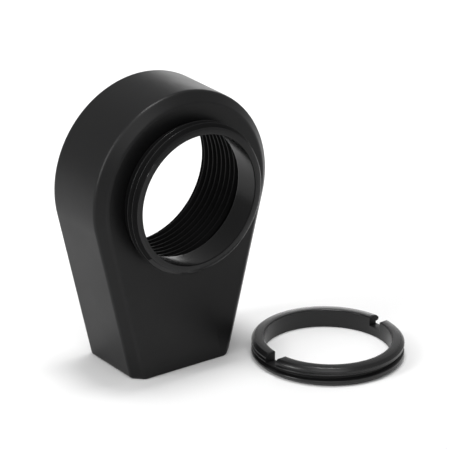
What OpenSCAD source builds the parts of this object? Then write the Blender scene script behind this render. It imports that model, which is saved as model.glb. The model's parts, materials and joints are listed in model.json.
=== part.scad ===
// Lens mount for small round optics: a thick tear-shaped plate on a flat foot,
// bored and threaded through, with a short threaded nose in front. The slotted
// ring that clamps the optic against the bore's lip lies beside it, unscrewed.
// +Z is up and the bore runs along Y, with the nose towards -Y. The origin is
// the mouth of the post hole, in the middle of the foot's underside.

/* [Optic] */
// Diameter of the optic that the bore takes
optic_d = 12.7; // [10:0.1:16]
// Room on the diameter between the optic and the crests of the bore's thread
optic_play = 0.25; // [0.05:0.01:0.5]
// How far the lip reaches in over the optic's edge
lip_ledge = 0.5; // [0.2:0.05:1]

/* [Body] */
// Wall of the round head around the bore's thread
head_wall = 2.2; // [1.5:0.1:5]
// Height of the bore's axis above the foot
axis_height = 16.4; // [15.5:0.1:24]
// Width of the flat foot
foot_width = 10.5; // [7:0.1:13]
// Depth of the body from front face to back face
body_depth = 7.4; // [5.5:0.1:12]
// Bevel around the front face
front_bevel = 0.85; // [0.2:0.05:1.2]
// Bevel around the back face
back_bevel = 0.5; // [0.2:0.05:1.2]

/* [Thread] */
// Depth of one thread groove
thread_depth = 0.325; // [0.2:0.005:0.4]
// Room on the diameter between the bore's thread and what screws into it
thread_play = 0.1; // [0.04:0.01:0.2]

/* [Bore] */
// Length of the smooth lip that the optic stops against
lip_length = 2.5; // [1:0.1:4]
// Length of the runout groove behind the lip
runout_length = 0.9; // [0.5:0.05:1.5]
// Bevel at the bore's mouth in the back face
mouth_bevel = 0.55; // [0.2:0.05:0.8]

/* [Nose] */
// How far the nose stands out of the front face
nose_length = 1.9; // [1.5:0.1:4]
// Bevel that leads a mating thread onto the nose
nose_bevel = 0.3; // [0.1:0.05:0.35]
// Length of the groove at the nose's root
root_length = 0.5; // [0.3:0.05:0.8]

/* [Post hole] */
// Diameter of the hole in the foot, as drilled for its thread
post_hole_d = 3.45; // [2.5:0.05:4.2]
// Depth of the post hole's straight wall
post_hole_depth = 6; // [4:0.1:6.2]
// Bevel at the post hole's mouth
post_hole_bevel = 0.4; // [0.2:0.05:0.5]

/* [Retaining ring] */
// Wall of the ring, from its opening to its thread's crests
ring_wall = 1.1; // [0.7:0.05:1.6]
// Height of the ring as it lies
ring_height = 1.7; // [1.2:0.1:3]
// Bevel on the ring's outer edges
ring_bevel = 0.3; // [0.1:0.05:0.4]
// Width of the two slots that a spanner turns the ring by
slot_width = 1.3; // [0.6:0.05:2]
// Depth of the slots
slot_depth = 0.85; // [0.3:0.05:1]
// Clear space between the lying ring and the corner of the foot
ring_gap = 1.5; // [0.5:0.1:10]
// Direction in which the ring lies from the foot, turned down from +X towards -Y
ring_heading = 36; // [20:1:70]
// Turn of the ring's slots from the X direction
ring_turn = 4; // [-90:1:90]

/* [Hidden] */
$fn = 128;
anodised_black = [0.07, 0.07, 0.075];
// How far a cut or a joined piece runs past the face it meets
overlap = 0.5;
// How much deeper than the thread its runout and root grooves are cut
groove_relief = 0.05;
thread_minor_r = (optic_d + optic_play) / 2;
thread_major_r = thread_minor_r + thread_depth;
lip_r = optic_d / 2 - lip_ledge;
head_r = thread_major_r + head_wall;
foot_half = foot_width / 2;
front_y = -body_depth / 2;
nose_y = front_y - nose_length;
// Outer radius of what screws into the bore, which the nose shares
screwed_r = thread_major_r - thread_play / 2;
root_r = screwed_r - thread_depth - groove_relief;
runout_r = thread_major_r + groove_relief;
ring_bore_r = screwed_r - ring_wall;
// Lean of the body's straight sides, which run from the foot's edges to touch the head
side_lean = atan2(axis_height, foot_half) - acos(head_r / norm([foot_half, axis_height]));
side_length = 2 * axis_height;
// Angle across a drill's point
drill_point = 118;
post_tip_h = post_hole_d / 2 / tan(drill_point / 2);
ring_reach = screwed_r + ring_gap;
ring_x = foot_half + ring_reach * cos(ring_heading);
ring_y = front_y - ring_reach * sin(ring_heading);

// Puts its children on the bore's axis, their +Z turned to +Y and their zero at y
module on_axis(y) {
    translate([0, y, axis_height])
        rotate([-90, 0, 0])
            children();
}

// The round head, bevelled front and back
module head() {
    on_axis(front_y)
        rotate_extrude()
            polygon([
                [0, 0],
                [head_r - front_bevel, 0],
                [head_r, front_bevel],
                [head_r, body_depth - back_bevel],
                [head_r - back_bevel, body_depth],
                [0, body_depth]
            ]);
}

// All that lies inside one straight side of the body, below the point where it meets the head
module inside_side() {
    translate([0, front_y, axis_height])
        rotate([0, side_lean, 0])
            translate([0, 0, -side_length])
                linear_extrude(side_length)
                    polygon([
                        [-side_length, 0],
                        [head_r - front_bevel, 0],
                        [head_r, front_bevel],
                        [head_r, body_depth - back_bevel],
                        [head_r - back_bevel, body_depth],
                        [-side_length, body_depth]
                    ]);
}

// The tapering leg between the head and the foot
module leg() {
    intersection() {
        inside_side();
        mirror([1, 0, 0])
            inside_side();
        translate([-head_r, front_y, 0])
            cube([2 * head_r, body_depth, axis_height]);
    }
}

// The nose as turned for its thread, with a groove at its root
module nose() {
    on_axis(nose_y)
        rotate_extrude()
            polygon([
                [0, 0],
                [screwed_r - nose_bevel, 0],
                [screwed_r, nose_bevel],
                [screwed_r, nose_length - root_length],
                [root_r, nose_length - root_length],
                [root_r, nose_length + overlap],
                [0, nose_length + overlap]
            ]);
}

// Everything bored away along the axis: the lip, the runout groove, the thread's hole and its mouth
module bore() {
    through = nose_length + body_depth;
    on_axis(nose_y)
        rotate_extrude()
            polygon([
                [0, -overlap],
                [lip_r, -overlap],
                [lip_r, lip_length],
                [runout_r, lip_length],
                [runout_r, lip_length + runout_length],
                [thread_minor_r, lip_length + runout_length],
                [thread_minor_r, through - mouth_bevel],
                [thread_minor_r + mouth_bevel, through],
                [thread_minor_r + mouth_bevel, through + overlap],
                [0, through + overlap]
            ]);
}

// The blind hole in the foot, with its drill point and bevelled mouth
module post_hole() {
    rotate_extrude()
        polygon([
            [0, -overlap],
            [post_hole_d / 2 + post_hole_bevel, -overlap],
            [post_hole_d / 2 + post_hole_bevel, 0],
            [post_hole_d / 2, post_hole_bevel],
            [post_hole_d / 2, post_hole_depth],
            [0, post_hole_depth + post_tip_h]
        ]);
}

module mount_body() {
    color(anodised_black)
        difference() {
            union() {
                head();
                leg();
                nose();
            }
            bore();
            post_hole();
        }
}

module retaining_ring() {
    color(anodised_black)
        translate([ring_x, ring_y, 0])
            rotate([0, 0, ring_turn])
                difference() {
                    rotate_extrude()
                        polygon([
                            [ring_bore_r, 0],
                            [screwed_r - ring_bevel, 0],
                            [screwed_r, ring_bevel],
                            [screwed_r, ring_height - ring_bevel],
                            [screwed_r - ring_bevel, ring_height],
                            [ring_bore_r, ring_height]
                        ]);
                    translate([-screwed_r - overlap, -slot_width / 2, ring_height - slot_depth])
                        cube([2 * (screwed_r + overlap), slot_width, slot_depth + overlap]);
                }
}

mount_body();
retaining_ring();
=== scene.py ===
# %% [markdown]
# # A lens mount and its retaining ring
#
# This notebook dresses a small optical lens mount: a thick tear-shaped plate of aluminium on a flat
# foot, bored and threaded through, with a short threaded nose. Beside it lies the slotted ring that
# clamps the optic. Both are anodised black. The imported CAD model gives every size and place. Here each
# piece gets the things that a CAD solid leaves out: real helical threads, softly broken edges, and the
# satin finish of blasted and turned aluminium.

# %% Load the frame
import json
from math import acos, atan2, cos, degrees, pi, radians, sin, tan

import bmesh
import bpy
import numpy as np
from mathutils import Matrix, Vector


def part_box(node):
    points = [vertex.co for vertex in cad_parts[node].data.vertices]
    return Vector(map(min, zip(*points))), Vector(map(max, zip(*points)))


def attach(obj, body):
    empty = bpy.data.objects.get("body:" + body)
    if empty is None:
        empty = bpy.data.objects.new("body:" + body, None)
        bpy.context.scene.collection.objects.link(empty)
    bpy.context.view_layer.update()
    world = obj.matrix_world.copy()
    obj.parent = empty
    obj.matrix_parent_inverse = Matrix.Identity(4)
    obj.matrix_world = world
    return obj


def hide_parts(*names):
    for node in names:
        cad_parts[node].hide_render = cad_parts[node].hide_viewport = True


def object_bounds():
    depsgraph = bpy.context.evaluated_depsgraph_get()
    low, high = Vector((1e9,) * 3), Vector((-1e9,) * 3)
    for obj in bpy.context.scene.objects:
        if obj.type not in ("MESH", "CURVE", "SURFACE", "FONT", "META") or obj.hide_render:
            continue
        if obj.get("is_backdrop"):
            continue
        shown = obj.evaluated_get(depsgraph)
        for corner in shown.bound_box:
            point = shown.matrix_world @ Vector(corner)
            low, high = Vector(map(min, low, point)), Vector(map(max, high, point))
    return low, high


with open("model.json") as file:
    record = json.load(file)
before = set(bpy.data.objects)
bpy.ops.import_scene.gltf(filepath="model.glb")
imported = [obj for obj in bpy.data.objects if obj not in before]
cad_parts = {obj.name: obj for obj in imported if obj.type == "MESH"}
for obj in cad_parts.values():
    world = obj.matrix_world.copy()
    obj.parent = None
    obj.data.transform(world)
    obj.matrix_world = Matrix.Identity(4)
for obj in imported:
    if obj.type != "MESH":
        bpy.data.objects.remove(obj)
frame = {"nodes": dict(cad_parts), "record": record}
cad_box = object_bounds()
mm = 0.001
print("pieces:", sorted(frame["nodes"]))

# %% [markdown]
# ## The camera
#
# The camera comes first, because every later choice of edge, grain and light is judged through it. A
# long lens from a little above keeps the circles of the bore close to true ellipses. It is placed by
# two angles and a distance round a point on the object, which is easier to think about than three
# coordinates.

# %% Camera
camera_azimuth = radians(-36.47)
camera_elevation = radians(22.75)
camera_roll = radians(0.67)
camera_distance = 248 * mm
camera_lens = 230.2
nearest_seen = 10 * mm
aim = Vector((3.93, -3.82, 12.66)) * mm

towards_camera = Vector((
    sin(camera_azimuth) * cos(camera_elevation),
    -cos(camera_azimuth) * cos(camera_elevation),
    sin(camera_elevation),
))
camera = bpy.data.objects.new("camera", bpy.data.cameras.new("camera"))
camera.data.lens = camera_lens
camera.data.clip_start = nearest_seen
camera.location = aim + camera_distance * towards_camera
level = towards_camera.to_track_quat("Z", "Y").to_matrix()
camera.rotation_euler = (level @ Matrix.Rotation(camera_roll, 3, "Z")).to_euler()
bpy.context.scene.collection.objects.link(camera)
bpy.context.scene.camera = camera
print("camera at", [round(v / mm) for v in camera.location], "mm")

# %% [markdown]
# ## Reading the sizes
#
# A machinist would measure the blank before cutting a thread in it. Here the sizes come from two
# places. The record names the threads and says how large they are. The corners of the CAD meshes give
# the rest: the width of the foot, the bevels, the lip. Nothing is typed in twice, so a changed CAD
# model gives a changed mesh. Two sizes that differ by less than the value named close count as one.
# From here on, lengths are in millimetres until a mesh is made.

# %% Sizes of the body
def cad_points(name):
    """All mesh corners of a CAD node, in millimetres."""
    mesh = frame["nodes"][name].data
    flat = np.empty(3 * len(mesh.vertices))
    mesh.vertices.foreach_get("co", flat)
    return flat.reshape(-1, 3) / mm


mounts = {mount["name"]: mount for mount in frame["record"]["mounts"]}
close = 0.01
body_points = cad_points("mount_body")
axis_height = mounts["optic_thread"]["pos_m"][2] / mm
nose_y = body_points[:, 1].min()
back_y = body_points[:, 1].max()
head_r = body_points[:, 0].max()
foot_points = body_points[body_points[:, 2] < close]
front_y = foot_points[:, 1].min()
foot_half = foot_points[:, 0].max()
foot_edge = foot_points[foot_points[:, 0] > foot_half - close]
front_bevel = foot_edge[:, 1].min() - front_y
back_bevel = back_y - foot_edge[:, 1].max()
print("head", head_r, "foot", foot_half, "bevels", round(front_bevel, 3), round(back_bevel, 3))

# %% Sizes of the bore and the nose
screwed_r = mounts["nose_thread"]["dims"]["r_mm"]
crest_r = mounts["optic_thread"]["dims"]["r_mm"]
thread_middle = mounts["optic_thread"]["pos_m"][1] / mm
thread_half = mounts["optic_thread"]["dims"]["length_mm"] / 2
thread_start = thread_middle - thread_half
mouth_y = thread_middle + thread_half
mouth_bevel = back_y - mouth_y
from_axis = np.hypot(body_points[:, 0], body_points[:, 2] - axis_height)
lip_r = from_axis.min()
lip_end = body_points[from_axis < lip_r + close][:, 1].max()
on_lip_end = (abs(body_points[:, 1] - lip_end) < close) & (from_axis < head_r - front_bevel)
runout_r = from_axis[on_lip_end].max()
on_front_face = abs(body_points[:, 1] - front_y) < close
root_r = from_axis[on_front_face].min()
root_start = body_points[abs(from_axis - root_r) < close][:, 1].min()
rim_r = from_axis[body_points[:, 1] < nose_y + close].max()
print("lip", round(lip_r, 3), "runout", round(runout_r, 3))
print("nose root", round(root_r, 3), "nose rim", round(rim_r, 3))

# %% [markdown]
# ## Softly broken edges
#
# No edge of a tumbled and blasted part is sharp. Each ends in a small round that catches a thin line of
# light, and that line is what makes metal look machined. A Bevel modifier could cut these rounds, but
# it would also chew the fine threads. So the rounds are put into the section before it becomes a mesh:
# each corner of a section line turns into a short arc. A support point on either side of the arc keeps
# the flat next to it flat when it is shaded smooth.

# %% Rounding the corners of a section
support = 0.08


def rounded(path, radius, steps=4, room=support):
    """Turns every inner corner of a path into a small arc, with a support point on either side."""
    path = [np.array(point, float) for point in path]
    result = [path[0]]
    for before, corner, after in zip(path, path[1:], path[2:]):
        back = (before - corner) / np.linalg.norm(before - corner)
        ahead = (after - corner) / np.linalg.norm(after - corner)
        reach = radius / tan(acos(np.clip(back @ ahead, -1, 1)) / 2)
        start = corner + reach * back
        end = corner + reach * ahead
        if room:
            result.append(start + room * back)
        for t in np.linspace(0, 1, steps + 1):
            result.append((1 - t) ** 2 * start + 2 * t * (1 - t) * corner + t ** 2 * end)
        if room:
            result.append(end + room * ahead)
    result.append(path[-1])
    return np.array(result)


print("a square corner becomes", len(rounded([(0, 1), (0, 0), (1, 0)], 0.1)) - 2, "points")

# %% [markdown]
# ## The outline of the body
#
# Seen from the front, the body is a circle that stands on a narrower foot, and two straight sides join
# them. A mill would cut that outline in one pass, and a bevel tool would follow it again. The mesh does
# the same. One function gives the outline at any inset, and the bevels, faces and sides are rows of it
# laid one behind the other. All rows have the same number of points, so neighbouring rows join with
# plain quads. The round rows of the bore take the outline's angles, so they join it in the same way.

# %% Half of the outline, from the middle of the foot to the top of the head
side_lean = atan2(axis_height, foot_half) - acos(head_r / np.hypot(foot_half, axis_height))
side_up = np.array([sin(side_lean), cos(side_lean)])
foot_steps = 16
side_steps = 40
head_steps = 104
corner_steps = 8
corner_break = 0.45


def half_outline(reach, lift):
    """Points (x, z) up the body's right half, with a head of radius reach and a foot at lift."""
    corner_x = (reach + (lift - axis_height) * sin(side_lean)) / cos(side_lean)
    touch = np.array([reach * cos(side_lean), axis_height - reach * sin(side_lean)])
    arc = rounded([(0, lift), (corner_x, lift), touch], corner_break, corner_steps)[1:-1]
    foot = [(x, lift) for x in np.linspace(0, arc[0][0], foot_steps, endpoint=False)]
    length = np.linalg.norm(touch - arc[-1])
    spread = np.linspace(atan2(length, reach), 0, side_steps)[1:-1]
    side = [touch - reach * tan(angle) * side_up for angle in spread]
    turns = np.linspace(pi / 2 - side_lean, pi, head_steps)
    head = [(reach * sin(turn), axis_height - reach * cos(turn)) for turn in turns]
    return np.array([*foot, *arc, *side, *head])


half = half_outline(head_r, 0)
right_angles = np.arctan2(half[:, 0], axis_height - half[:, 1])
angles = np.concatenate([right_angles, 2 * pi - right_angles[-2::-1]])
print("outline of", len(angles), "points, sides leaning", round(degrees(side_lean), 2), "degrees")

# %% Rows of the outline and rows round the bore
foot_break = 0.12


def foot_lift(y):
    """How high the underside lies at y, where the foot's front and back edges are broken."""
    inside = min(y - front_y, back_y - y, foot_break)
    return foot_break - (foot_break ** 2 - (foot_break - inside) ** 2) ** 0.5


def outline_row(reach, y):
    """One loop round the body's outside, as it lies at y."""
    right = half_outline(reach, foot_lift(y))
    left = right[-2::-1] * (-1, 1)
    loop = np.concatenate([right, left])
    return np.column_stack([loop[:, 0], np.full(len(loop), y), loop[:, 1]])


def round_row(radius, y):
    """One loop round the bore's axis. Its radius and its y may change along the loop."""
    x = radius * np.sin(angles)
    z = axis_height - radius * np.cos(angles)
    return np.column_stack([x, y + 0 * angles, z])


print("the foot's front edge lies", foot_lift(front_y), "above the floor")

# %% [markdown]
# ## Threads
#
# A thread is a groove cut along a helix. A stack of plain rings would look right from afar, but a real
# thread climbs by one pitch in each turn, and its end runs out at a different place all round. To get
# that, each row of points slides along the axis as it goes round, and where it would leave the threaded
# stretch it stops at the end. The last point of one turn then lies on the first point of the next, and
# welding closes the seam. The groove has the sixty-degree sides of an inch thread. The optics thread
# has forty turns to the inch, the post thread thirty-two.

# %% The section of one turn
inch = 25.4
optics_pitch = inch / 40
post_pitch = inch / 32
flank_angle = radians(30)
thread_softness = 0.03
groove_relief = 0.05
thread_depth = screwed_r - root_r - groove_relief
outer_crest = optics_pitch / 8
inner_crest = optics_pitch / 4


def thread_section(pitch, depth, crest):
    """One turn from crest to crest: how far along each point lies, and how deep."""
    flank = depth * tan(flank_angle)
    corners = [
        (0, 0),
        (crest / 2, 0),
        (crest / 2 + flank, depth),
        (pitch - crest / 2 - flank, depth),
        (pitch - crest / 2, 0),
        (pitch, 0),
    ]
    return rounded(corners, thread_softness, steps=2, room=0)


outer_section = thread_section(optics_pitch, thread_depth, outer_crest)
inner_section = thread_section(optics_pitch, thread_depth, inner_crest)
print("thread", round(thread_depth, 3), "mm deep,", len(outer_section) - 1, "points a turn")

# %% Rows that climb along a thread
def climbing_rows(start, end, section, around):
    """Rows of (place along the axis, depth of the groove) from start to end, at the angles around."""
    pitch = section[-1, 0]
    climb = pitch * around / (2 * pi)
    last = end + climb.max()
    turns = int((last - start) / pitch) + 1
    places = [start + turn * pitch + place for turn in range(turns) for place in section[:-1, 0]]
    rows = []
    for place in [start, *places, last]:
        along = np.clip(place - climb, start, end)
        phase = (along + climb - start) % pitch
        rows.append((along, np.interp(phase, section[:, 0], section[:, 1])))
    return rows


print("a millimetre of bore thread takes", len(climbing_rows(0, 1, inner_section, angles)), "rows")

# %% [markdown]
# ## The body's section
#
# Now the whole body is one closed walk: from the front face over the bevel, along the side, over the
# back face, in through the bore's mouth, forward along its thread, over the runout groove and the
# smooth lip that the optic stops against, out over the nose's rim and thread, and down to the face
# again. The outside rows are outlines, and the rest are circles. Such a walk leaves no open edge, so
# the mesh is a solid that could be cut or printed. The nose's thread is turned on by seven tenths of a
# turn, which decides where round the rim its groove begins.

# %% Outside rows
body_break = 0.45
bevel_steps = 6


def with_stops(path, stops):
    """Adds a point to a path wherever it passes one of the y values in stops."""
    result = [path[0]]
    for start, end in zip(path, path[1:]):
        for y in stops:
            if start[1] + close < y < end[1] - close:
                result.append(start + (end - start) * (y - start[1]) / (end[1] - start[1]))
        result.append(end)
    return result


outside = rounded([
    (0, front_y),
    (head_r - front_bevel, front_y),
    (head_r, front_y + front_bevel),
    (head_r, back_y - back_bevel),
    (head_r - back_bevel, back_y),
    (0, back_y),
], body_break, bevel_steps)[1:-1]
stops = [front_y + foot_break * part for part in (0.5, 1, 2)]
stops += [back_y - foot_break * part for part in (2, 1, 0.5)]
rows = [outline_row(*point) for point in with_stops(outside, stops)]
print(len(rows), "rows outside")

# %% The bore's mouth, thread, runout groove and lip
bore_break = 0.08
groove_r = crest_r + thread_depth
thread_end = mouth_y + thread_depth
mouth = rounded([
    (head_r, back_y),
    (crest_r + mouth_bevel, back_y),
    (groove_r, thread_end),
], bore_break)[1:-1]
rows += [round_row(*point) for point in mouth]

bore_thread = climbing_rows(thread_start, thread_end, inner_section, angles)
for along, depth in reversed(bore_thread):
    rows.append(round_row(np.maximum(crest_r + depth, crest_r + along - mouth_y), along))

lip = rounded([
    (runout_r, thread_start),
    (runout_r, lip_end),
    (lip_r, lip_end),
    (lip_r, nose_y),
    (rim_r, nose_y),
], bore_break)[:-1]
rows += [round_row(*point) for point in lip]
print(len(rows), "rows with the bore")

# %% The nose's rim, thread and root groove
rim_break = 0.03
nose_entry = 0.7 * 2 * pi
rows.append(round_row(rim_r - rim_break, nose_y))
nose_thread = climbing_rows(nose_y + rim_break, root_start, outer_section, angles + nose_entry)
for along, depth in nose_thread:
    rows.append(round_row(np.minimum(screwed_r - depth, rim_r + along - nose_y), along))
root = rounded([
    (root_r, root_start),
    (root_r, front_y),
    (head_r, front_y),
], bore_break)[:-1]
rows += [round_row(*point) for point in root]
print(len(rows), "rows in all")

# %% Covering rows with faces
weld_reach = 0.0001 * mm


def cover(shape, rows, closed):
    """Adds rows of points to a bmesh and covers the space between neighbours with quads."""
    grid = [[shape.verts.new(Vector(point) * mm) for point in row] for row in rows]
    pairs = list(zip(grid, grid[1:]))
    if closed:
        pairs.append((grid[-1], grid[0]))
    for row, beside in pairs:
        for corner in range(len(row) - 1):
            shape.faces.new([row[corner], row[corner + 1], beside[corner + 1], beside[corner]])


def weld(shape):
    """Joins points that lie in one place, and drops the faces that this leaves without area."""
    bmesh.ops.remove_doubles(shape, verts=shape.verts, dist=weld_reach)
    bmesh.ops.dissolve_degenerate(shape, edges=shape.edges, dist=weld_reach)


def report(name, shape):
    """Prints how many faces a shape has, and how many of its edges don't join just two of them."""
    open_edges = sum(not edge.is_manifold for edge in shape.edges)
    print(name, "has", len(shape.faces), "faces and", open_edges, "open edges")


body_shape = bmesh.new()
cover(body_shape, rows, closed=True)
weld(body_shape)
report("the body", body_shape)

# %% [markdown]
# ## The post hole
#
# A blind hole in the foot takes the stud of a post. It was drilled, so it ends in the cone of a drill's
# point, then countersunk and tapped. It hardly shows, but whoever turns the part over looks straight
# into it. Its sizes are read from the CAD corners that lie low and near its axis. Its wall is built as
# one more set of rows. Then the flat underside is opened, and a triangle fill closes the flat between
# the foot's outline and the mouth of the hole.

# %% Sizes of the post hole
post_r = mounts["post_hole"]["dims"]["r_mm"]
post_points = body_points[np.hypot(body_points[:, 0], body_points[:, 1]) < foot_half / 2]
post_points = post_points[post_points[:, 2] < axis_height / 2]
from_post = np.hypot(post_points[:, 0], post_points[:, 1])
post_mouth_r = from_post[post_points[:, 2] < close].max()
post_depth = post_points[abs(from_post - post_r) < close][:, 2].max()
post_tip = post_points[:, 2].max()
post_countersink = post_mouth_r - post_r
print("post hole", round(post_depth, 2), "deep, its point at", round(post_tip, 2))

# %% Rows of the post hole
post_steps = 72
post_angles = np.linspace(0, 2 * pi, post_steps + 1)
post_thread_depth = 0.36
post_crest = post_pitch / 4
post_thread_start = post_countersink - post_thread_depth
post_thread_end = post_depth - post_pitch


def post_row(radius, z):
    """One loop round the post hole's axis."""
    x = radius * np.cos(post_angles)
    y = radius * np.sin(post_angles)
    return np.column_stack([x, y, z + 0 * post_angles])


post_section = thread_section(post_pitch, post_thread_depth, post_crest)
post_thread = climbing_rows(post_thread_start, post_thread_end, post_section, 2 * pi - post_angles)
post_rows = [post_row(post_mouth_r, 0)]
for along, depth in post_thread:
    post_rows.append(post_row(np.maximum(post_r + depth, post_mouth_r - along), along))
post_rows.append(post_row(post_r, post_thread_end))
post_rows.append(post_row(post_r, post_depth))
post_rows.append(post_row(0, post_tip))
print(len(post_rows), "rows in the post hole")

# %% Opening the underside and fitting the hole
flat_limit = 0.001 * mm
underside = [face for face in body_shape.faces if all(v.co.z < flat_limit for v in face.verts)]
bmesh.ops.delete(body_shape, geom=underside, context="FACES")
cover(body_shape, post_rows, closed=False)
weld(body_shape)
rim_edges = [edge for edge in body_shape.edges if edge.is_boundary]
bmesh.ops.triangle_fill(body_shape, use_beauty=True, edges=rim_edges)
bmesh.ops.recalc_face_normals(body_shape, faces=body_shape.faces)
report("the body with its hole", body_shape)

# %% [markdown]
# ## From shape to piece
#
# Both pieces are finished in the same way. Faces are shaded smooth, and any edge that turns by more
# than a set angle is marked sharp, so the groove walls stay crisp while the small arcs flow. Each point
# also gets one number, named edge: how tightly the metal curves outwards there. It is worked out from
# the angle between two faces and the distance across them, so it means a real radius and hardly depends
# on how dense the mesh is. The finish uses it later, because blasting and handling brighten an edge
# first.

# %% How tightly the metal curves
worn_radius = 0.2 * mm
least_apart = worn_radius / 10


def edge_values(shape):
    """For each point, how sharply it curves outwards: 0 on a flat, 1 at the worn radius or below."""
    values = [0.0] * len(shape.verts)
    for edge in shape.edges:
        if len(edge.link_faces) != 2:
            continue
        one, other = edge.link_faces
        apart = (one.calc_center_median() - other.calc_center_median()).length
        bend = edge.calc_face_angle_signed(0) / max(apart, least_apart)
        for corner in edge.verts:
            values[corner.index] = max(values[corner.index], min(bend * worn_radius, 1))
    return values


# %% Making a piece
sharp_turn = radians(38)


def as_object(name, shape):
    """Turns a bmesh into an object and puts it in the scene."""
    mesh = bpy.data.meshes.new(name)
    shape.to_mesh(mesh)
    made = bpy.data.objects.new(name, mesh)
    bpy.context.scene.collection.objects.link(made)
    return made


def make_piece(name, shape, node):
    """Turns a bmesh into a piece that stands for a CAD node."""
    shape.verts.index_update()
    for face in shape.faces:
        face.smooth = True
    for edge in shape.edges:
        edge.smooth = edge.calc_face_angle(0) < sharp_turn
    piece = as_object(name, shape)
    curving = piece.data.attributes.new("edge", "FLOAT", "POINT")
    curving.data.foreach_set("value", edge_values(shape))
    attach(piece, "root")
    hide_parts(node)
    triangles = sum(len(face.verts) - 2 for face in shape.faces)
    metal = round(shape.calc_volume() / mm ** 3, 1)
    print(name, "has", triangles, "triangles and", metal, "cubic mm of metal")
    return piece


body = make_piece("threaded_mount_body", body_shape, "mount_body")

# %% [markdown]
# ## The retaining ring
#
# The ring is turned from bar, threaded on the outside, parted off, and then slotted across for a
# two-pin spanner. The mesh follows the same order. First the whole ring is built from rows, like the
# bore. Its thread fades out just before both faces, and its bevels bulge a little, as they do on a ring
# that was tumbled after it was cut. Then a cutter with the slots' section goes straight across, and a
# Boolean takes it away. The cutter widens in a small curve at the top, so the slots' edges come out
# rounded too.

# %% Sizes of the ring
ring_low, ring_high = (np.array(corner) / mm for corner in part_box("retaining_ring"))
ring_centre = (ring_low + ring_high) / 2
ring_height = ring_high[2]
ring_points = cad_points("retaining_ring") - (ring_centre[0], ring_centre[1], 0)
from_ring = np.hypot(ring_points[:, 0], ring_points[:, 1])
ring_bore_r = from_ring.min()
ring_rim_r = from_ring[ring_points[:, 2] < close].max()
ring_bevel = screwed_r - ring_rim_r
print("ring", round(ring_bore_r, 2), "to", screwed_r, "with a bevel of", round(ring_bevel, 2))

# %% Sizes of the slots
above_bevel = ring_points[:, 2] > ring_bevel + close
below_bevel = ring_points[:, 2] < ring_height - ring_bevel - close
right_side = (from_ring > screwed_r - close) & (ring_points[:, 0] > 0)
slot_corners = ring_points[above_bevel & below_bevel & right_side]
slot_floor = slot_corners[:, 2].min()
slot_headings = np.arctan2(slot_corners[:, 1], slot_corners[:, 0])
slot_turn = (slot_headings.max() + slot_headings.min()) / 2
slot_half = screwed_r * sin((slot_headings.max() - slot_headings.min()) / 2)
print("slots", round(2 * slot_half, 2), "wide, their floor at", round(slot_floor, 2))

# %% The ring's bore and faces
ring_break = 0.1
ring_steps = 288
ring_angles = np.linspace(0, 2 * pi, ring_steps + 1)


def ring_row(radius, z):
    """One loop round the ring's axis."""
    x = ring_centre[0] + radius * np.cos(ring_angles)
    y = ring_centre[1] + radius * np.sin(ring_angles)
    return np.column_stack([x, y, z + 0 * ring_angles])


ring_edge_r = ring_rim_r - rim_break
ring_section = rounded([
    (ring_edge_r, 0),
    (ring_bore_r, 0),
    (ring_bore_r, ring_height),
    (ring_edge_r, ring_height),
], ring_break)
ring_rows = [ring_row(*point) for point in ring_section]
print(len(ring_rows), "rows over the ring's bore and faces")

# %% The ring's thread and bevels
edge_fullness = 1.3
thread_inset = 1.5 * ring_bevel
thread_fade = 0.15
fine_steps = 24
fine_places = np.union1d(outer_section[:, 0], np.linspace(0, optics_pitch, fine_steps + 1))
fine_depths = np.interp(fine_places, outer_section[:, 0], outer_section[:, 1])
fine_section = np.column_stack([fine_places, fine_depths])
ring_top = ring_height - rim_break
ring_thread = climbing_rows(rim_break, ring_top, fine_section, 2 * pi - ring_angles)
for along, depth in reversed(ring_thread):
    from_face = np.minimum(along, ring_height - along)
    kept = np.clip((from_face - thread_inset) / thread_fade, 0, 1)
    inside_bevel = np.clip(1 - from_face / ring_bevel, 0, 1)
    edge_drop = ring_bevel * inside_bevel ** edge_fullness
    ring_rows.append(ring_row(screwed_r - np.maximum(depth * kept, edge_drop), along))
ring_shape = bmesh.new()
cover(ring_shape, ring_rows, closed=True)
weld(ring_shape)
bmesh.ops.recalc_face_normals(ring_shape, faces=ring_shape.faces)
report("the ring's blank", ring_shape)

# %% The section of the slot cutter
slot_break = 0.13
lift_off = 0.002
cutter_rise = 1
cutter_reach = 2 * screwed_r
right_flare = rounded([
    (slot_half, slot_floor),
    (slot_half, ring_height + lift_off),
    (cutter_reach, ring_height + lift_off),
], slot_break, room=0)[:-1]
right_wall = [*right_flare, (right_flare[-1][0], ring_height + cutter_rise)]
left_wall = [(-side, z) for side, z in reversed(right_wall)]
cutter_section = [*right_wall, *left_wall]
print("cutter section of", len(cutter_section), "points")

# %% The slot cutter
across = np.array([-sin(slot_turn), cos(slot_turn), 0])
ahead = np.array([cos(slot_turn), sin(slot_turn), 0])
middle = np.array([ring_centre[0], ring_centre[1], 0])
cutter_shape = bmesh.new()
ends = []
for reach in (-cutter_reach, cutter_reach):
    end = [middle + reach * ahead + side * across + (0, 0, z) for side, z in cutter_section]
    ends.append([cutter_shape.verts.new(Vector(point) * mm) for point in end])
    cutter_shape.faces.new(ends[-1])
near, far = ends
for corner in range(len(cutter_section)):
    after = (corner + 1) % len(cutter_section)
    cutter_shape.faces.new([near[corner], near[after], far[after], far[corner]])
bmesh.ops.recalc_face_normals(cutter_shape, faces=cutter_shape.faces)
report("the cutter", cutter_shape)

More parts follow.
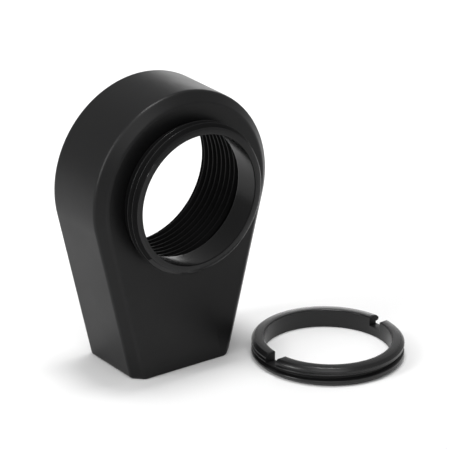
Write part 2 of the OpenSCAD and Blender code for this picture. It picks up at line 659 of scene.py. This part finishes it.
# %% Slotting the ring
blank = as_object("ring_blank", ring_shape)
cutter = as_object("slot_cutter", cutter_shape)
slotting = blank.modifiers.new("slots", "BOOLEAN")
slotting.operation = "DIFFERENCE"
slotting.solver = "EXACT"
slotting.object = cutter
slotted = blank.evaluated_get(bpy.context.evaluated_depsgraph_get())
slotted_shape = bmesh.new()
slotted_shape.from_mesh(slotted.to_mesh())
weld(slotted_shape)
bpy.data.objects.remove(blank)
bpy.data.objects.remove(cutter)
many_sided = [face for face in slotted_shape.faces if len(face.verts) > 4]
bmesh.ops.triangulate(slotted_shape, faces=many_sided)
report("the slotted ring", slotted_shape)
ring = make_piece("threaded_retaining_ring", slotted_shape, "retaining_ring")

# %% [markdown]
# ## The finish: shared effects
#
# Black anodising is a clear oxide layer, a hundredth of a millimetre thick, with dye in its pores. It
# adds almost no texture of its own, so what shows is the metal under it: a fine pebble grain where the
# part was blasted, and rings where it was turned. Light comes back from the surface of the oxide and
# hardly any from the dye, so the tone of each face is mostly a soft reflection of the room. Three
# effects could be painted into each material by hand, but they would drift apart. So each is a node
# group, built once: the grain, the turning rings, and the brighter worn edge.

# %% Helpers for node trees
def add_node(tree, kind, settings=None, **inputs):
    """Adds a node, sets its options, and links each socket in inputs or fills in its value."""
    node = tree.nodes.new(kind)
    for option, value in (settings or {}).items():
        setattr(node, option, value)
    for name, value in inputs.items():
        key = int(name[1:]) if name[1:].isdigit() else name.replace("_", " ")
        if isinstance(value, bpy.types.NodeSocket):
            tree.links.new(value, node.inputs[key])
        else:
            node.inputs[key].default_value = value
    return node


def maths(tree, operation, *values, clamp=False):
    """A Math node's output for one, two or three values."""
    inputs = {f"i{place}": value for place, value in enumerate(values)}
    settings = {"operation": operation, "use_clamp": clamp}
    return add_node(tree, "ShaderNodeMath", settings, **inputs).outputs[0]


def vector_maths(tree, operation, *values, output=0, **named):
    """One output of a Vector Math node for one or two vectors."""
    inputs = {f"i{place}": value for place, value in enumerate(values)}
    settings = {"operation": operation}
    return add_node(tree, "ShaderNodeVectorMath", settings, **inputs, **named).outputs[output]


# %% Helper for node groups
def new_group(name, inputs, outputs):
    """An empty node group, and the sockets at its two ends. Its outputs are numbers."""
    group = bpy.data.node_groups.new(name, "ShaderNodeTree")
    for socket_name, kind in inputs:
        group.interface.new_socket(socket_name, in_out="INPUT", socket_type=kind)
    for socket_name in outputs:
        group.interface.new_socket(socket_name, in_out="OUTPUT", socket_type="NodeSocketFloat")
    given = group.nodes.new("NodeGroupInput").outputs
    result = group.nodes.new("NodeGroupOutput").inputs
    print("group", name, "gives", outputs)
    return group, given, result


# %% Group: blasted grain
patch_share = 0.02
grain_group, given, result = new_group(
    "blasted_grain",
    [("Grain Size", "NodeSocketFloat")],
    ["Height", "Tone"],
)
place = add_node(grain_group, "ShaderNodeTexCoord").outputs["Object"]
fineness = maths(grain_group, "DIVIDE", 1, given["Grain Size"])
pebbles = add_node(
    grain_group, "ShaderNodeTexNoise", Vector=place, Scale=fineness, Detail=2, Roughness=0.6,
)
broad = maths(grain_group, "MULTIPLY", fineness, patch_share)
patches = add_node(
    grain_group, "ShaderNodeTexNoise", Vector=place, Scale=broad, Detail=3, Roughness=0.5,
)
grain_group.links.new(pebbles.outputs["Fac"], result["Height"])
grain_group.links.new(patches.outputs["Fac"], result["Tone"])

# %% Group: turning rings
rings_group, given, result = new_group(
    "turning_rings",
    [("Centre", "NodeSocketVector"), ("Axis", "NodeSocketVector"), ("Feed", "NodeSocketFloat")],
    ["Height"],
)
place = add_node(rings_group, "ShaderNodeTexCoord").outputs["Object"]
arm = vector_maths(rings_group, "SUBTRACT", place, given["Centre"])
along = vector_maths(rings_group, "DOT_PRODUCT", arm, given["Axis"], output="Value")
offset = vector_maths(rings_group, "SCALE", given["Axis"], Scale=along)
out = vector_maths(rings_group, "SUBTRACT", arm, offset)
radius = vector_maths(rings_group, "LENGTH", out, output="Value")
track = add_node(rings_group, "ShaderNodeCombineXYZ", X=radius, Y=along).outputs[0]
ring_scale = maths(rings_group, "DIVIDE", 1, given["Feed"])
flat_noise = {"noise_dimensions": "2D"}
lines = add_node(
    rings_group, "ShaderNodeTexNoise", flat_noise, Vector=track, Scale=ring_scale, Detail=3,
)
rings_group.links.new(lines.outputs["Fac"], result["Height"])

# %% Group: worn edge
least_wear = 0.3
wear_swing = 0.8
edge_group, given, result = new_group(
    "worn_edge",
    [("Patch Size", "NodeSocketFloat")],
    ["Mask"],
)
place = add_node(edge_group, "ShaderNodeTexCoord").outputs["Object"]
curving = add_node(edge_group, "ShaderNodeAttribute", {"attribute_name": "edge"}).outputs["Fac"]
patch_scale = maths(edge_group, "DIVIDE", 1, given["Patch Size"])
handled = add_node(edge_group, "ShaderNodeTexNoise", Vector=place, Scale=patch_scale, Detail=3)
uneven = maths(
    edge_group, "MULTIPLY_ADD", handled.outputs["Fac"], wear_swing, least_wear, clamp=True,
)
mask = maths(edge_group, "MULTIPLY", curving, uneven, clamp=True)
edge_group.links.new(mask, result["Mask"])

# %% [markdown]
# ## Four black finishes
#
# One dye gives four blacks. Blasted faces are satin with a fine grain. The turned rim of the nose is
# smoother and shows rings, and so does the finely bored lip. The thread grooves have rougher sides, and
# their black is given a lower index than the others, so it reflects less: painted shade deep in the
# grooves and along the bore's thread. One material could tell them apart by masks, but separate ones
# are easier to read and to change. So the body's faces are sorted over four materials by where they lie,
# and the ring's over two. Each has a near-black base and a low index of refraction, which keeps its
# reflections weak. Its roughness wanders by a few hundredths, because a perfectly even value looks like
# plastic, and falls where an edge is rubbed.

# %% Building a black finish
grain_size = 0.07 * mm
turning_feed = 0.09 * mm
wear_size = 1.5 * mm
dye_black = (0.004, 0.004, 0.0042, 1)
worn_black = (0.014, 0.014, 0.0145, 1)
relief = {"Strength": 0.35, "Distance": 0.01 * mm}
tone_swing = 0.12
edge_polish = 0.18


def group_node(tree, group, **inputs):
    """The outputs of a group that is placed in a material with its own values."""
    return add_node(tree, "ShaderNodeGroup", {"node_tree": group}, **inputs).outputs


def black_finish(name, ior, roughness, wear, centre=None, axis=None):
    """Anodised black: blasted where no axis is given, and otherwise turned about that axis."""
    material = bpy.data.materials.new(name)
    material.use_nodes = True
    tree = material.node_tree
    shader = tree.nodes["Principled BSDF"]
    grain = group_node(tree, grain_group, Grain_Size=grain_size)
    edge = group_node(tree, edge_group, Patch_Size=wear_size)
    height = grain["Height"]
    if axis is not None:
        rings = group_node(tree, rings_group, Centre=centre, Axis=axis, Feed=turning_feed)
        height = rings["Height"]
    bump = add_node(tree, "ShaderNodeBump", Height=height, **relief)
    rubbed = maths(tree, "MULTIPLY", edge["Mask"], wear)
    blend = add_node(
        tree, "ShaderNodeMix", {"data_type": "RGBA"}, i0=rubbed, i6=dye_black, i7=worn_black,
    )
    shade = maths(tree, "MULTIPLY_ADD", grain["Tone"], tone_swing, roughness - tone_swing / 2)
    shade = maths(tree, "MULTIPLY_ADD", rubbed, -edge_polish, shade, clamp=True)
    tree.links.new(blend.outputs[2], shader.inputs["Base Color"])
    tree.links.new(shade, shader.inputs["Roughness"])
    tree.links.new(bump.outputs[0], shader.inputs["Normal"])
    shader.inputs["IOR"].default_value = ior
    print("material", name, "roughness about", roughness)
    return material


# %% The body's four finishes
bore_axis_point = Vector((0, 0, axis_height)) * mm
turning = {"centre": bore_axis_point, "axis": (0, 1, 0)}
body_finishes = [
    black_finish("blasted_black", ior=1.31, roughness=0.42, wear=1.0),
    black_finish("turned_black", ior=1.33, roughness=0.25, wear=1.0, **turning),
    black_finish("bored_black", ior=1.27, roughness=0.22, wear=1.0, **turning),
    # The thread black reflects least of the four: painted shade in the grooves and the bore's thread,
    # over the rougher cut of a thread.
    black_finish("threaded_black", ior=1.15, roughness=0.5, wear=0.2, **turning),
]
blasted, turned, bored, threaded = range(4)
for finish in body_finishes:
    body.data.materials.append(finish)

# %% Sorting the body's faces
groove_depth = 0.05
# Faces deep in the nose's groove and the whole bore thread get the thread black, which paints shade into
# these recesses.
for face in body.data.polygons:
    x, y, z = face.center / mm
    from_bore = (x ** 2 + (z - axis_height) ** 2) ** 0.5
    in_groove = from_bore < min(screwed_r, rim_r + y - nose_y) - groove_depth
    face.material_index = blasted
    if from_bore < lip_r + close:
        face.material_index = bored
    elif y < front_y - close:
        face.material_index = threaded if in_groove and y > nose_y + close else turned
    elif from_bore < runout_r + close and y < back_y - close:
        face.material_index = threaded
for kind, finish in enumerate(body_finishes):
    count = sum(face.material_index == kind for face in body.data.polygons)
    print(count, "faces in", finish.name)

# %% Finishing the ring
turning = {"centre": Vector(middle) * mm, "axis": (0, 0, 1)}
ring_finishes = [
    black_finish("turned_black_ring", ior=1.42, roughness=0.3, wear=1.0, **turning),
    # The ring's second black reflects less than the first: painted shade in its groove and slots, and
    # the duller sawn faces of the slots.
    black_finish("threaded_black_ring", ior=1.28, roughness=0.5, wear=0.2, **turning),
]
for finish in ring_finishes:
    ring.data.materials.append(finish)
# Faces deep in the thread groove and in the slots get the second black: painted shade in these recesses,
# and the slots' sawn finish.
for face in ring.data.polygons:
    spot = np.array(face.center) / mm - middle
    from_centre = np.hypot(spot[0], spot[1])
    from_face = min(spot[2], ring_height - spot[2])
    on_outside = ring_bore_r + close < from_centre < screwed_r - groove_depth
    in_groove = from_face > ring_bevel and on_outside
    in_slot = abs(spot @ across) < slot_half + close and spot[2] > slot_floor - close
    face.material_index = int(in_groove or in_slot)
print(sum(face.material_index for face in ring.data.polygons), "faces in the ring's grooves and slots")

# %% [markdown]
# ## Floor and light
#
# Black satin has no colour to show, so the light is designed as a set of things to reflect. One lamp
# overhead would leave hard spots, and light from all round would make every face the same. So a pale
# floor is mirrored in the front, a square key light stands in front and above, a tall strip on the left
# draws the head's left edge, and a low box behind fades over the top of the head. A pool of light
# brightens the floor behind and to the right. Each soft box is placed by heading, height angle and
# distance, and its strength is given as brightness, so making one larger does not dim it.

# %% Floor
floor_half = 2000 * mm
floor_drop = 0.01 * mm
floor_tone = 0.8
floor_shape = bmesh.new()
bmesh.ops.create_grid(floor_shape, x_segments=1, y_segments=1, size=floor_half)
floor = as_object("floor", floor_shape)
floor.location.z = -floor_drop
paint = bpy.data.materials.new("pale_floor")
paint.use_nodes = True
paint_shader = paint.node_tree.nodes["Principled BSDF"]
paint_shader.inputs["Base Color"].default_value = (floor_tone, floor_tone, floor_tone, 1)
paint_shader.inputs["Roughness"].default_value = 0.9
paint_shader.inputs["Specular IOR Level"].default_value = 0.1
floor.data.materials.append(paint)
floor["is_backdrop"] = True
print("floor", 2 * floor_half, "metres wide")

# %% Soft boxes
box_distance = 420 * mm


def hang(name, light, place, facing):
    """Puts a light in the scene at a place, turned away from facing."""
    lamp = bpy.data.objects.new(name, light)
    lamp.location = place
    lamp.rotation_euler = facing.to_track_quat("Z", "Y").to_euler()
    bpy.context.scene.collection.objects.link(lamp)
    print(name, "at", [round(v / mm) for v in lamp.location], "mm")


def soft_box(name, heading, height, width, tall, brightness):
    """An area light that faces the bore. Heading 0 is in front, and 90 is on the right."""
    turn = radians(heading)
    rise = radians(height)
    direction = Vector((sin(turn) * cos(rise), -cos(turn) * cos(rise), sin(rise)))
    light = bpy.data.lights.new(name, "AREA")
    light.shape = "RECTANGLE"
    light.size = width * mm
    light.size_y = tall * mm
    light.energy = brightness * pi * light.size * light.size_y
    hang(name, light, bore_axis_point + direction * box_distance, direction)


soft_box("front_key", heading=-30, height=50, width=300, tall=300, brightness=1.6)
soft_box("left_strip", heading=-95, height=27, width=120, tall=300, brightness=8.5)
soft_box("back_low", heading=137, height=3, width=150, tall=150, brightness=2.4)

# %% The pool of light on the floor
pool_above = Vector((20, 26, 420)) * mm
pool_centre = Vector((75, 96, 0)) * mm
pool_radius = 170 * mm
pool_brightness = 0.76
pool_light = bpy.data.lights.new("floor_pool", "SPOT")
pool_light.spot_size = 2 * atan2(pool_radius, pool_above.z)
pool_light.spot_blend = 0.25
pool_light.shadow_soft_size = 70 * mm
pool_light.energy = 4 * pi ** 2 * pool_above.z ** 2 * pool_brightness
hang("floor_pool", pool_light, pool_above, pool_above - pool_centre)

# %% Room light
room_tone = 0.5
room = bpy.data.worlds.new("room")
room.use_nodes = True
background = room.node_tree.nodes["Background"]
background.inputs["Color"].default_value = (room_tone, room_tone, room_tone, 1)
bpy.context.scene.world = room
bpy.context.scene.view_settings.view_transform = "Standard"
print("room light at", room_tone)

# %% [markdown]
# ## Measuring and finishing
#
# The last cell prints the box of the finished pieces beside the CAD model's box, because a look may
# never change a size.

# %% Size and finish
visual_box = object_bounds()
boxes = {"cad": [list(corner) for corner in cad_box], "visual": [list(corner) for corner in visual_box]}
for name, box in boxes.items():
    print(name, "box in mm:", [[round(v / mm, 3) for v in corner] for corner in box])
